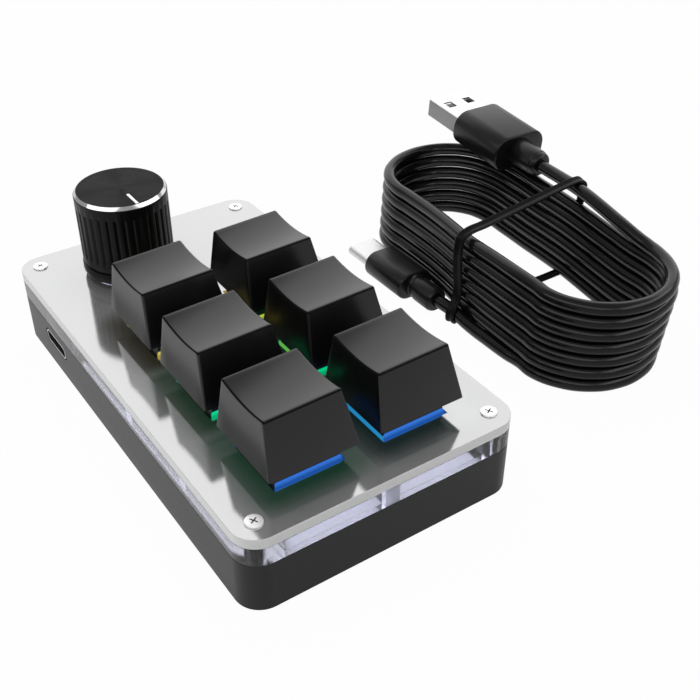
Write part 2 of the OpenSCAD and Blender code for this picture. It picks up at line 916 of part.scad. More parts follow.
module usb_a_insert() {
    color("#f2f2f2")
        at_a_plug()
            translate([-a_shell_len - shell_root + 1, -a_shell_w / 2 + 0.4, -a_shell_h / 2 + 0.4])
                cube([a_shell_len + shell_root - 1.6, a_shell_w - 0.8, 1.8]);
}

module usb_a_overmould() {
    color("#1c1c1e")
        at_a_plug()
            difference() {
                union() {
                    translate([-a_shell_len, 0, 0])
                        rotate([0, -90, 0])
                            slab(a_body_h, a_body_w, a_body_r, 0, a_body_len);
                    translate([-a_shell_len - a_body_len + eps, 0, 0])
                        rotate([0, -90, 0])
                            cylinder(d = a_relief_d, h = a_relief_len);
                }
                translate([-a_shell_len - shell_root, -a_shell_w / 2, -a_shell_h / 2])
                    cube([shell_root + 1, a_shell_w, a_shell_h]);
            }
}

module at_c_plug(x) {
    translate([c_tip_x + x, c_y, c_z])
        rotate([0, 0, -90])
            children();
}

module usb_c_shell() {
    t = 0.35;
    color("#d8dadc")
        at_c_plug(-c_shell_len - shell_root)
            difference() {
                oval_bar(c_shell_w, c_shell_h, c_shell_len + shell_root);
                translate([0, 1, 0])
                    oval_bar(c_shell_w - 2 * t, c_shell_h - 2 * t, c_shell_len + shell_root);
            }
}

module usb_c_overmould() {
    color("#1c1c1e")
        difference() {
            union() {
                at_c_plug(-c_shell_len - c_body_len)
                    oval_bar(c_body_w, c_body_h, c_body_len);
                translate([c_tip_x - c_shell_len - c_body_len + eps, c_y, c_z])
                    rotate([0, -90, 0])
                        cylinder(d = c_relief_d, h = c_relief_len);
            }
            at_c_plug(-c_shell_len - shell_root)
                oval_bar(c_shell_w, c_shell_h, shell_root + 1);
        }
}

// ---- Assembly ----

base_tray();
rubber_feet();
light_frame();
switch_plate();
top_plate();
case_screws();
pcb();
usb_socket_shell();
usb_socket_tongue();
controller_chip();
key_leds();
switch_pins();
for (k = [0:5]) {
    keycap(k);
    switch_stem(k);
    switch_spring(k);
    switch_cover(k);
    switch_base(k);
}
encoder_base();
encoder_bracket();
encoder_rotor();
encoder_shaft();
encoder_dome();
knob_core();
knob_shell();
cable_hank();
cable_floor_lead();
cable_top_lead();
cable_tie();
usb_a_shell();
usb_a_insert();
usb_a_overmould();
usb_c_shell();
usb_c_overmould();
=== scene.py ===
import math

import bpy
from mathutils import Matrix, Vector


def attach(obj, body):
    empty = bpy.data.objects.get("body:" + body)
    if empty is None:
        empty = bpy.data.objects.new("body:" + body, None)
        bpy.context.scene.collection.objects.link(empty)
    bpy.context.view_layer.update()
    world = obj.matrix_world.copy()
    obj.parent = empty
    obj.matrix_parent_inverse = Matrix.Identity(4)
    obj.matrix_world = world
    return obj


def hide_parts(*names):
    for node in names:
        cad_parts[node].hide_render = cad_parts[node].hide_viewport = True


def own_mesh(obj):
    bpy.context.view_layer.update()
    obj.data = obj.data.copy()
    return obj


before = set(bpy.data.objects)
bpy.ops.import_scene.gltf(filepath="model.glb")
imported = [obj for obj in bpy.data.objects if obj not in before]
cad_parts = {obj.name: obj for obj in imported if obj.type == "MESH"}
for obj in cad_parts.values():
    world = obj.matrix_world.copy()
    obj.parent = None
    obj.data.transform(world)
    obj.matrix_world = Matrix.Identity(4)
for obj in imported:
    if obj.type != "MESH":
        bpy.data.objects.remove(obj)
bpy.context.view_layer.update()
bpy.ops.object.select_all(action="DESELECT")

# ---- Camera ----
# The keypad is seen from above its end, with the socket side on the left
# and the lead beyond it.
EYE = Vector((-0.15183, 0.07723, 0.13564))
LOOK = Vector((0.669053, -0.454129, -0.588332))
bpy.ops.object.camera_add(location=EYE, rotation=LOOK.to_track_quat("-Z", "Y").to_euler())
camera = bpy.context.object
camera.data.lens = 53.28
camera.data.sensor_width = 36
camera.data.clip_start = 0.01
bpy.context.scene.camera = camera
bpy.context.scene.view_settings.view_transform = "Standard"


# ---- Studio ----
# A plain white table top that runs out of sight, so that the object stands on white
# with a faint shadow, under four soft panels.
class Wire:
    """One output socket of a node tree. Sums and products of wires add Math nodes."""

    def __init__(self, tree, out=None):
        self.tree, self.out = tree, out

    def node(self, kind, inputs=(), out=0, **settings):
        """Adds a node: its settings first, then each input, a value or a wire, by name or number."""
        made = self.tree.nodes.new(kind)
        for name, value in settings.items():
            setattr(made, name, value)
        for key, value in dict(inputs).items():
            if isinstance(value, Wire):
                self.tree.links.new(value.out, made.inputs[key])
            else:
                made.inputs[key].default_value = value
        return Wire(self.tree, made.outputs[out])

    def math(self, operation, a, b):
        return self.node("ShaderNodeMath", {0: a, 1: b}, operation=operation)

    def __add__(self, other):
        return self.math("ADD", self, other)

    def __sub__(self, other):
        return self.math("SUBTRACT", self, other)

    def __rsub__(self, other):
        return self.math("SUBTRACT", other, self)

    def __mul__(self, other):
        return self.math("MULTIPLY", self, other)

    __radd__, __rmul__ = __add__, __mul__

    def into(self, socket):
        """Links this wire to a socket of the material's own shader."""
        self.tree.links.new(self.out, self.tree.nodes["Principled BSDF"].inputs[socket])


def axis(place, number):
    """One coordinate of a place: 0 for X, 1 for Y, 2 for Z."""
    return place.node("ShaderNodeSeparateXYZ", {0: place}, out=number)


def ramp(wire, low, high, at_low, at_high, **settings):
    """Runs from at_low to at_high as the wire goes from low to high, and holds its ends."""
    return wire.node("ShaderNodeMapRange", {0: wire, 1: low, 2: high, 3: at_low, 4: at_high}, **settings)


FLOOR_SIZE = 6
WHITE_SHARE = 0.975
CASE_FOOT_Y = 0.033


def lit_room(tree, share, white, plain):
    """The eye, gloss and glass see a share of the white shader, and matt surfaces the plain one alone."""
    start = Wire(tree)
    looks = [start.node("ShaderNodeLightPath", out=name)
             for name in ("Is Camera Ray", "Is Glossy Ray", "Is Transmission Ray")]
    seen = start.node("ShaderNodeClamp", {0: looks[0] + looks[1] + looks[2]})
    return start.node("ShaderNodeMixShader", {0: seen * share, 1: plain, 2: white})


bpy.ops.mesh.primitive_plane_add(size=FLOOR_SIZE, location=(0, 0, -0.00005))
floor = bpy.context.object
floor.name = "table_top"
bpy.ops.object.transform_apply()
floor_finish = bpy.data.materials.new("table_white")
floor_finish.use_nodes = True
tree = floor_finish.node_tree
tree.nodes.remove(tree.nodes["Principled BSDF"])
start = Wire(tree)
# Gloss sees the table darken towards the room on the -X side and close by the case: a painted shade in the
# table's reflection, and a painted contact shadow by the case.
glossy = start.node("ShaderNodeLightPath", out="Is Glossy Ray")
spot = start.node("ShaderNodeTexCoord", out="Object")
painted_far_shade = ramp(axis(spot, 0), -0.02, -0.06, 0.0, 0.73)
painted_contact_shadow = ramp(start.math("ABSOLUTE", axis(spot, 1) - CASE_FOOT_Y, 0), 0.0, 0.014, 0.4, 0.0)
seen_floor = lit_room(
    tree, WHITE_SHARE - start.math("MAXIMUM", painted_far_shade, painted_contact_shadow) * glossy,
    start.node("ShaderNodeEmission", {"Color": (1, 1, 1, 1), "Strength": 1}),
    start.node("ShaderNodeBsdfDiffuse", {"Color": (0.5, 0.5, 0.5, 1)}))
tree.links.new(seen_floor.out, tree.nodes["Material Output"].inputs["Surface"])
floor.data.materials.append(floor_finish)

room = bpy.data.worlds.new("room")
room.use_nodes = True
bpy.context.scene.world = room
tree = room.node_tree
tree.nodes.remove(tree.nodes["Background"])
start = Wire(tree)
# Gloss sees a dim room above the table, in which the panels stand out.
dimmer = ramp(axis(start.node("ShaderNodeTexCoord", out="Generated"), 2), -0.03, 0.08, 0.0, 0.62)
seen_room = lit_room(
    tree, 1 - dimmer * start.node("ShaderNodeLightPath", out="Is Glossy Ray"),
    start.node("ShaderNodeBackground", {"Color": (1, 1, 1, 1), "Strength": 1}),
    start.node("ShaderNodeBackground", {"Color": (1, 1, 1, 1), "Strength": 0.15}))
tree.links.new(seen_room.out, tree.nodes["World Output"].inputs["Surface"])


def softbox(name, azimuth, elevation, distance, width, height, radiance, gloss=True, matt=True):
    """A rectangular lamp that faces the object and lights its gloss, its matt surfaces or both.

    Azimuth 0 is +X and 90 is +Y.
    """
    a, e = math.radians(azimuth), math.radians(elevation)
    place = Vector((math.cos(a) * math.cos(e), math.sin(a) * math.cos(e), math.sin(e)))
    bpy.ops.object.light_add(type="AREA", location=place * distance + Vector((0, -0.02, 0)),
                             rotation=(-place).to_track_quat("-Z", "Y").to_euler())
    lamp = bpy.context.object
    lamp.name = name
    lamp.data.shape = "RECTANGLE"
    lamp.data.size, lamp.data.size_y = width, height
    lamp.data.energy = radiance * math.pi * width * height
    lamp.visible_glossy, lamp.visible_diffuse = gloss, matt


softbox("left_panel", 112, 42, 0.8, 1.5, 0.32, 1.9)
softbox("right_panel", 222, 40, 0.8, 1.3, 0.3, 2.4, matt=False)
softbox("back_panel", -34, 31, 0.9, 1.8, 0.84, 1.05, matt=False)
softbox("top_panel", -10, 74, 0.9, 0.9, 0.9, 3.6, gloss=False)

# ---- Lead ----
# A thin black PVC cable, wound into a long hank of six turns that lean over a little. It
# runs from the small plug on the table into the lowest turn, and leaves the highest one
# for the large plug, which lies on the stack.
MM = 0.001
LEAD_D = 3.1
LEAD_SHOWN_R = 1.53
FAR_PITCH = 3.13
TURNS = 6
REST_Z = 1.6

floor_run = [
    (3.4, -52.8, 3.2), (1.2, -53.1, 3.1), (-1, -53.5, 2.8), (-3.4, -53.75, 2.3), (-6, -53.9, 1.8),
    (-9, -53.9, 1.6), (-13, -53.9, 1.6), (-17, -53.9, 1.6), (-20, -54, 1.6), (-23.4, -54.4, 1.6),
]
top_run = [
    (-25.5, -87.75, 20.3), (-22, -87.8, 20.8), (-18, -88, 21.5), (-13.2, -88.5, 22.1),
    (-8.3, -89.1, 22.65), (-3.4, -89.7, 23.05), (1, -90.2, 23.2), (5.5, -90.6, 23.15),
    (10.1, -90.85, 23.15), (13.4, -90.95, 23.25),
]


def near_bend(k):
    """The bend at the -X end, from the side by the case round to the far side."""
    low = max(1 - k / (TURNS - 1), 0)
    middle = (-25.15 + 0.4 * low, -70.2 - 0.264 * k + 0.2 * low)
    for step in range(8):
        turn = math.radians(100 + 22.5 * step)
        deep = 16 + (0.15 * (k if k < TURNS else -1) if step > 3 else 0)
        yield (middle[0] + 16 * math.cos(turn), middle[1] + deep * math.sin(turn), REST_Z + LEAD_D * k)


def far_half(k):
    """The far side, the bend at the +X end and the climb back to the start of the next turn."""
    wall = (
        (-20, -85.8, 0.56), (-13, -86.5, 0.56), (-6, -87.2, 0.53), (-0.5, -87.8, 0.49),
        (5, -88.4, 0.47), (13, -89.2, 0.48), (22, -90.1, 0.53),
    )
    for x, y, lean in wall:
        over_tie = 0.8 * math.exp(-(((x + 0.5) / 13) ** 2))
        toward_bend = 0.14 * k * min(max((x + 10) / 25, 0), 1)
        yield (x, y - lean * k, REST_Z + LEAD_D * k + over_tie + toward_bend)
    low = 1 - k / (TURNS - 1)
    for step in range(8):
        turn = math.radians(-82 + 23.5 * step)
        deep = 15.7 - 1.2 * low if step > 3 else 15.4
        x, y = 31 + (14.9 - 1.5 * low) * math.cos(turn), -75 - 0.53 * k + deep * math.sin(turn)
        yield (x, y, REST_Z + FAR_PITCH * k)
    climb = (
        (27, -60.4, 0.28, 0.04), (20, -60, 0.26, 0.14), (13, -59.3, 0.22, 0.28), (7, -58.3, 0.2, 0.42),
        (1, -57.1, 0.2, 0.56), (-4.5, -56.3, 0.24, 0.7), (-10, -55.6, 0.3, 0.82), (-17, -55, 0.3, 0.95),
    )
    start, end = REST_Z + FAR_PITCH * k, REST_Z + LEAD_D * (k + 1)
    for x, y, lean, share in climb:
        yield (x, y - lean * k, start + (end - start) * share)


route = list(floor_run)
for k in range(TURNS):
    route += [*near_bend(k), *far_half(k), (-23.5, -54.7 - 0.3 * k, REST_Z + LEAD_D * (k + 1))]
route += [*near_bend(TURNS), *top_run]


def smooth_curve(name, points, resolution, closed=False):
    """A smooth curve through points given in millimetres, as an object of its own."""
    line = bpy.data.curves.new(name, "CURVE")
    line.dimensions = "3D"
    line.resolution_u = resolution
    stretch = line.splines.new("BEZIER")
    stretch.bezier_points.add(len(points) - 1)
    for mark, place in zip(stretch.bezier_points, points):
        mark.co = Vector(place) * MM
        mark.handle_left_type = mark.handle_right_type = "AUTO"
    stretch.use_cyclic_u = closed
    piece = bpy.data.objects.new(name, line)
    bpy.context.collection.objects.link(piece)
    return piece


lead = smooth_curve("lead", route, 6)
lead.data.bevel_depth = LEAD_SHOWN_R * MM
lead.data.bevel_resolution = 5
lead.data.use_fill_caps = True


def new_finish(name, **sockets):
    """A material whose shader has these constant values. Gives the material and its object coordinates."""
    made = bpy.data.materials.new(name)
    made.use_nodes = True
    shader = made.node_tree.nodes["Principled BSDF"]
    for key, value in sockets.items():
        shader.inputs[key.replace("_", " ")].default_value = value
    return made, Wire(made.node_tree).node("ShaderNodeTexCoord", out="Object")


def noise(place, scale, detail=2):
    """Irregular marks, as a share from 0 to 1."""
    return place.node("ShaderNodeTexNoise", {"Vector": place, "Scale": scale, "Detail": detail})


def tint(share, first, second):
    """A colour between two colours or wires, by a share from 0 to 1."""
    ends = [end if isinstance(end, Wire) else (*end, 1) for end in (first, second)]
    return share.node("ShaderNodeMix", {0: share, 6: ends[0], 7: ends[1]}, data_type="RGBA", out=2)


def grain(place, scale, height, distance, rough, swing, detail=3):
    """Fine grain: a noise that raises the surface a little and varies its roughness."""
    marks = noise(place, scale, detail)
    (rough - swing / 2 + marks * swing).into("Roughness")
    place.node("ShaderNodeBump", {"Height": marks, "Strength": height, "Distance": distance}).into("Normal")
    return marks


lead_black, place = new_finish("lead_pvc", Specular_IOR_Level=0.28)
worn = grain(place, 900, 0.06, 0.0002, 0.19, 0.06)
tint(worn, (0.002, 0.002, 0.0021), (0.004, 0.004, 0.0042)).into("Base Color")
lead.data.materials.append(lead_black)
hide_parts("cable_hank", "cable_floor_lead", "cable_top_lead")
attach(lead, "root")

# ---- Twist tie ----
# A flat black tie with a wire in each edge and a thin web between them. It is drawn
# tight round both sides of the hank, over the large plug's lead and under the stack.
TIE_W = 2.3
TIE_T = 0.66
tie_black, place = new_finish("tie_pvc", Specular_IOR_Level=0.08)
grain(place, 2500, 0.15, 0.0001, 0.36, 0.1)
tint(noise(place, 400), (0.003, 0.003, 0.0031), (0.006, 0.006, 0.0062)).into("Base Color")

half_w, half_t, web, chamfer = TIE_W / 2, TIE_T / 2, 0.14, 0.18
one_edge = (
    (half_w, half_t * 0.5), (half_w - chamfer, half_t), (0.5, half_t), (0.25, web),
    (-0.25, web), (-0.5, half_t), (chamfer - half_w, half_t), (-half_w, half_t * 0.5),
)
outline = ((half_w, -half_t * 0.5), *one_edge, *((x, -y) for x, y in one_edge[:0:-1]))
tie_section = bpy.data.objects.new("tie_section", bpy.data.curves.new("tie_section", "CURVE"))
tie_section.data.dimensions = "3D"
bpy.context.collection.objects.link(tie_section)
section = tie_section.data.splines.new("POLY")
section.points.add(len(outline) - 1)
for point, (across, out) in zip(section.points, outline):
    point.co = (across * MM, out * MM, 0, 1)
section.use_cyclic_u = True

tie_run = (
    (0.2, -70, 0.5), (0, -60, 0.5), (-1.6, -54, 0.52), (-2.2, -52.35, 0.85), (-2.4, -51.75, 2.1),
    (-2.2, -52.3, 4), (-1.6, -53.9, 5.6), (-1.1, -54.72, 8), (-0.5, -54.72, 13), (-0.45, -54.75, 19.5),
    (-0.45, -55.15, 21), (-0.4, -56.4, 21.75), (-0.3, -62, 22.3), (-0.2, -75, 23.75), (-0.1, -86, 24.95),
    (-0.1, -89.6, 25.2), (-0.1, -91.4, 24.85), (-0.1, -92.45, 23.6), (0, -92.45, 21.8), (0, -91.9, 17),
    (0.1, -90.6, 7), (0.1, -90, 1.6), (0.15, -89.3, 0.6), (0.2, -87, 0.5), (0.2, -80, 0.5),
)


def take(*pieces):
    """Selects these pieces alone, with the first of them active."""
    bpy.ops.object.select_all(action="DESELECT")
    for piece in pieces:
        piece.select_set(True)
    bpy.context.view_layer.objects.active = pieces[0]


tie = smooth_curve("twist_tie", tie_run, 5, closed=True)
tie.data.bevel_mode = "OBJECT"
tie.data.bevel_object = tie_section
tie.data.twist_mode = "MINIMUM"
take(tie)
bpy.ops.object.convert(target="MESH")
tie = bpy.context.object
bpy.data.objects.remove(tie_section)
bpy.ops.object.shade_smooth_by_angle(angle=math.radians(40))
tie.data.materials.append(tie_black)
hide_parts("cable_tie")
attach(tie, "root")


# ---- Plug bodies ----
# Both plugs are moulded round their metal shells in soft black PVC: a body with rounded
# sides, and a short stepped collar that the cable leaves through.
def begin(name, kind, **settings):
    """A new primitive, alone selected."""
    bpy.ops.object.select_all(action="DESELECT")
    getattr(bpy.ops.mesh, "primitive_" + kind + "_add")(**settings)
    bpy.context.object.name = name
    return bpy.context.object


def mm(*measures):
    """A place or a size that is given in millimetres."""
    return [measure * MM for measure in measures]


def block(name, size, place=(0, 0, 0), turn=0):
    """A box of a size about a place, turned about Z, in millimetres and degrees."""
    piece = begin(name, "cube", size=1, location=mm(*place), rotation=(0, 0, math.radians(turn)))
    piece.dimensions = mm(*size)
    bpy.ops.object.transform_apply()
    return piece


def pick(piece, wanted, kind="EDGE"):
    """Opens the piece in edit mode with just the edges or faces selected for which wanted is true."""
    bpy.ops.object.mode_set(mode="EDIT")
    bpy.ops.mesh.select_mode(type="VERT")
    bpy.ops.mesh.select_all(action="DESELECT")
    bpy.ops.mesh.select_mode(type=kind)
    bpy.ops.object.mode_set(mode="OBJECT")
    if kind == "FACE":
        for face in piece.data.polygons:
            face.select = wanted(face)
    else:
        for edge in piece.data.edges:
            edge.select = wanted(*(piece.data.vertices[end].co for end in edge.vertices))
    bpy.ops.object.mode_set(mode="EDIT")


def round_off(piece, wanted, radius, segments, **more):
    """Rounds the edges for which wanted is true."""
    pick(piece, wanted)
    bpy.ops.mesh.bevel(offset=radius * MM, segments=segments, affect="EDGES", **more)
    bpy.ops.object.mode_set(mode="OBJECT")


def hollow(piece, wanted, wall, *depth):
    """Sinks the faces for which wanted is true, a wall's width inside their rims. Stays in edit mode."""
    pick(piece, wanted, "FACE")
    bpy.ops.mesh.inset(thickness=wall * MM, depth=0)
    bpy.ops.mesh.extrude_region_move(TRANSFORM_OT_translate={"value": mm(*depth)})


def settle(piece, angle=35):
    """Back to object mode, with its place in its mesh and its rounded edges smooth."""
    if bpy.context.mode != "OBJECT":
        bpy.ops.object.mode_set(mode="OBJECT")
    take(piece)
    bpy.ops.object.transform_apply()
    bpy.ops.object.shade_smooth_by_angle(angle=math.radians(angle))


def dress(piece, finish, slot_name, body, *nodes):
    """Gives a finished piece its material, its body and the nodes that it stands for. Its slot name is not
    used.
    """
    piece.data.materials.clear()
    piece.data.materials.append(finish)
    if nodes:
        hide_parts(*nodes)
    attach(piece, body)


def along_x(a, b):
    """True of an edge that runs along X."""
    return abs(a.y - b.y) < 1e-6 and abs(a.z - b.z) < 1e-6


def moulded_body(name, length, width, height, side_r, edge, start):
    """A block along -X from its start, its long edges rounded by side_r and its end edges by edge."""
    piece = block(name, (length, width, height), (-length / 2, 0, 0))
    round_off(piece, along_x, side_r, 12)
    round_off(piece, lambda a, b: abs(a.x - b.x) < 1e-7, edge, 3)
    piece.location.x = start * MM
    bpy.ops.object.transform_apply()
    return piece


def turned(name, profile, sides=40):
    """A piece turned about Z. The profile gives radius and height at each step between its closed ends."""
    first_r, first_z = profile[0]
    piece = begin(name, "circle", radius=first_r * MM, vertices=sides, location=mm(0, 0, first_z))
    bpy.ops.object.transform_apply()
    bpy.ops.object.mode_set(mode="EDIT")
    bpy.ops.mesh.select_mode(type="VERT")
    bpy.ops.mesh.select_all(action="SELECT")
    for (r, z), (next_r, next_z) in zip(profile, profile[1:]):
        bpy.ops.mesh.extrude_region_move(TRANSFORM_OT_translate={"value": mm(0, 0, next_z - z)})
        bpy.ops.transform.resize(value=(next_r / r, next_r / r, 1), center_override=mm(0, 0, next_z))
    bpy.ops.mesh.edge_face_add()
    bpy.ops.mesh.select_all(action="DESELECT")
    bpy.ops.mesh.select_non_manifold()
    bpy.ops.mesh.edge_face_add()
    bpy.ops.mesh.select_all(action="SELECT")
    bpy.ops.mesh.normals_make_consistent(inside=False)
    bpy.ops.object.mode_set(mode="OBJECT")
    return piece


def collar_behind(name, start, profile):
    """A turned collar laid along -X, from its start behind the tip."""
    piece = turned(name, profile)
    piece.rotation_euler = (0, math.radians(-90), 0)
    piece.location.x = start * MM
    bpy.ops.object.transform_apply()
    return piece


def weld(first, *others):
    """Joins parts of one moulding into one piece."""
    take(first, *others)
    bpy.ops.object.join()
    return bpy.context.object


moulded_black, place = new_finish("moulded_pvc", Specular_IOR_Level=0.25)
worn = grain(place, 1400, 0.08, 0.0001, 0.3, 0.08)
tint(worn, (0.004, 0.004, 0.0041), (0.007, 0.007, 0.0072)).into("Base Color")

A_TIP, A_TURN = Vector((50.9, -91.7, 26.2)), (0.8, -4.5, -0.9)
A_SHELL, A_BODY = (12.6, 12.1, 4.7), (17.1, 15.6, 9)
A_STEPS = (
    (3.4, -0.5), (3.4, 0.2), (3.5, 0.4), (3.2, 6.7), (3.05, 6.9), (3.0, 7.6), (2.9, 7.9), (2.5, 8.3),
)
body = moulded_body("large_plug_body", *A_BODY, 4, 0.5, -A_SHELL[0])
collar = collar_behind("large_plug_collar", -A_SHELL[0] - A_BODY[0], A_STEPS)
large_plug = weld(body, collar)
large_plug.location = A_TIP * MM
large_plug.rotation_euler = [math.radians(t) for t in A_TURN]
settle(large_plug, 32)
dress(large_plug, moulded_black, "overmould_black", "root", "usb_a_overmould")

C_TIP = Vector((33.8, -52.5, 3.25))
C_SHELL, C_BODY = (8, 8.25, 2.4), (14.1, 10, 6.5)
C_STEPS = (
    (2.9, -0.5), (2.9, 0.7), (2.6, 1), (2.6, 2.2), (2.95, 2.5), (2.95, 7.4), (2.8, 7.9), (2.4, 8.3),
)
body = moulded_body("small_plug_body", *C_BODY, 3.2, 0.6, -C_SHELL[0])
collar = collar_behind("small_plug_collar", -C_SHELL[0] - C_BODY[0], C_STEPS)
small_plug = weld(body, collar)
small_plug.location = C_TIP * MM
settle(small_plug, 32)
dress(small_plug, moulded_black, "overmould_black", "root", "usb_c_overmould")


# ---- Plug shells ----
# Nickel-plated steel, folded from strip. The large one has two square latch windows in
# each wide face over its white carrier, and the small one is a plain oval tube.
plated, place = new_finish("nickel_plate", Metallic=0.9)
drawn = noise(place.node("ShaderNodeMapping", {"Vector": place, "Scale": (400, 4000, 4000)}), 1)
(0.2 + drawn * 0.1).into("Roughness")
tint(drawn, (0.7, 0.7, 0.705), (0.76, 0.76, 0.765)).into("Base Color")
# The large shell's narrow sides get a darker steel, a painted shade on those sides.
painted_shade_steel, place = new_finish("shell_side_painted_shade", Metallic=0.95)
side_shade_marks = noise(place, 1200)
(0.3 + side_shade_marks * 0.1).into("Roughness")
tint(side_shade_marks, (0.22, 0.22, 0.222), (0.26, 0.26, 0.263)).into("Base Color")


def folded_tube(name, length, width, height, side_r, wall, root):
    """An open-mouthed tube along -X from its mouth at x = 0, running root further inside the moulding."""
    piece = block(name, (length + root, width, height), (-(length + root) / 2, 0, 0))
    round_off(piece, along_x, side_r, 8 if side_r > 1 else 3)
    hollow(piece, lambda face: face.normal.x > 0.9, wall, 1 - length - root, 0, 0)
    bpy.ops.object.mode_set(mode="OBJECT")
    return piece


def cut_out(piece, *cutters):
    """Cuts the form of each cutter out of the piece."""
    for cutter in cutters:
        bpy.context.view_layer.objects.active = piece
        cut = piece.modifiers.new("cut", "BOOLEAN")
        cut.object, cut.operation, cut.solver = cutter, "DIFFERENCE", "EXACT"
        bpy.ops.object.modifier_apply(modifier=cut.name)
        bpy.data.objects.remove(cutter)


large_shell = folded_tube("large_plug_shell", *A_SHELL, 0.45, 0.35, 3)
windows = [block("window_cutter", (2.9, 2.4, 6), (-4.9, side, 0)) for side in (-3, 3)]
cut_out(large_shell, weld(*windows))
large_shell.location = A_TIP * MM
large_shell.rotation_euler = [math.radians(t) for t in A_TURN]
settle(large_shell)
dress(large_shell, plated, "plug_steel", "root", "usb_a_shell")
large_shell.data.materials.append(painted_shade_steel)
for face in large_shell.data.polygons:
    face.material_index = int(abs(face.normal.y) > 0.8)

small_shell = folded_tube("small_plug_shell", *C_SHELL, 1.19, 0.35, 3)
small_shell.location = C_TIP * MM
settle(small_shell)
satin_plated, place = new_finish("satin_plate", Metallic=0.8, Roughness=0.35)
tint(noise(place, 900), (0.66, 0.66, 0.665), (0.72, 0.72, 0.725)).into("Base Color")
dress(small_shell, satin_plated, "plug_steel", "root", "usb_c_shell")

carrier_white, place = new_finish("carrier_nylon", Roughness=0.5, Specular_IOR_Level=0.4)
tint(noise(place, 300), (0.3, 0.3, 0.3), (0.36, 0.36, 0.36)).into("Base Color")
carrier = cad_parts["usb_a_insert"]
carrier.data.materials.clear()
carrier.data.materials.append(carrier_white)

# ---- Case ----
# Three layers held by four screws: a moulded black tray on rubber feet, a clear acrylic
# frame and a silver plate with a fine blasted face. Their edges are lightly broken.
def copy_of(name, original):
    """A new piece with a copy of the original's mesh, alone selected."""
    piece = bpy.data.objects.new(name, original.data.copy())
    bpy.context.collection.objects.link(piece)
    take(piece)
    return piece


def broken_edges(node, name, width, segments=3):
    """A copy of a CAD node with its triangles merged into whole faces and its sharp edges rounded."""
    piece = copy_of(name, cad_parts[node])
    bpy.ops.object.mode_set(mode="EDIT")
    bpy.ops.mesh.select_all(action="SELECT")
    bpy.ops.mesh.remove_doubles(threshold=1e-6)
    bpy.ops.mesh.dissolve_limited(angle_limit=math.radians(0.5))
    bpy.ops.object.mode_set(mode="OBJECT")
    bpy.ops.object.shade_smooth_by_angle(angle=math.radians(35))
    edge = piece.modifiers.new("edge", "BEVEL")
    edge.width, edge.segments, edge.limit_method = width * MM, segments, "ANGLE"
    edge.angle_limit = math.radians(40)
    edge.harden_normals = True
    bpy.ops.object.modifier_apply(modifier=edge.name)
    return piece


tray_black, place = new_finish("tray_plastic", Specular_IOR_Level=0.38)
worn = grain(place, 2200, 0.12, 0.0001, 0.38, 0.08)
tint(worn, (0.003, 0.003, 0.0032), (0.006, 0.006, 0.0062)).into("Base Color")
dress(broken_edges("base_tray", "tray", 0.35), tray_black, "tray_black", "root", "base_tray")

acrylic, place = new_finish("clear_acrylic", Transmission_Weight=1.0, IOR=1.49)
haze = noise(place, 250)
# The acrylic is tinted darker along its middle, a painted shade where it looks through to the dark inside,
# and it is tinted darker towards its long sides too.
from_middle = place.math("ABSOLUTE", axis(place, 1), 0)
rib_painted_shade = ramp(from_middle, 0.0014, 0.0016, 1.0, 0.0)
(0.11 + haze * 0.08 + rib_painted_shade * 0.3).into("Roughness")
side = ramp(from_middle, 0.02, 0.022, 0.0, 0.85)
hazed = tint(haze, (0.19, 0.192, 0.194), (0.22, 0.222, 0.224))
tint(rib_painted_shade * 0.75 + side, hazed, (0.06, 0.061, 0.062)).into("Base Color")
clear_frame = broken_edges("light_frame", "clear_frame", 0.15, 2)
FRAME_LOW, FRAME_HIGH, AIR = 11.0, 14.9, 0.03
for point in clear_frame.data.vertices:
    point.co.z = min(max(point.co.z, (FRAME_LOW + AIR) * MM), (FRAME_HIGH - AIR) * MM)
dress(clear_frame, acrylic, "frame_clear", "root", "light_frame")

blasted, place = new_finish("blasted_silver")
grain(place, 5000, 0.08, 0.00005, 0.07, 0.02, 2)
tint(noise(place, 20, 3), (0.5, 0.5, 0.502), (0.54, 0.54, 0.542)).into("Base Color")
silver_plate = broken_edges("top_plate", "silver_plate", 0.22)
dress(silver_plate, blasted, "plate_silver", "root", "top_plate")
milled, place = new_finish("milled_edge", Metallic=0.95)
tool_marks = noise(place.node("ShaderNodeMapping", {"Vector": place, "Scale": (300, 300, 6000)}), 1)
(0.3 + tool_marks * 0.1).into("Roughness")
tint(tool_marks, (0.66, 0.66, 0.662), (0.74, 0.74, 0.742)).into("Base Color")
silver_plate.data.materials.append(milled)
for face in silver_plate.data.polygons:
    face.material_index = int(abs(face.normal.z) < 0.3)


def repaint(finish, *nodes):
    """Gives CAD nodes whose shape is right their own finish."""
    for node in nodes:
        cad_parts[node].data.materials.clear()
        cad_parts[node].data.materials.append(finish)


foot_rubber, place = new_finish("foot_rubber", Specular_IOR_Level=0.3)
grain(place, 3000, 0.3, 0.0001, 0.75, 0.1)
tint(noise(place, 500), (0.012, 0.012, 0.012), (0.02, 0.02, 0.02)).into("Base Color")
repaint(foot_rubber, "rubber_feet")

# The board and the switch plate glow, blue-tinted and greyer on the socket side: painted light that stands
# in for the lights' glow in the cells.
board_painted_glow, place = new_finish(
    "board_with_painted_glow", Specular_IOR_Level=0.4, Roughness=0.45, Emission_Strength=2.4)
painted_glow_tint = tint(noise(place, 90), (0.6, 0.6, 0.72), (0.75, 0.75, 0.98))
socket_side = ramp(axis(place, 1), 0.018, 0.026, 0.0, 1.0)
tint(socket_side, painted_glow_tint, (0.42, 0.42, 0.43)).into("Emission Color")
tint(noise(place, 350), (0.7, 0.71, 0.72), (0.78, 0.79, 0.8)).into("Base Color")
repaint(board_painted_glow, "switch_plate", "pcb")

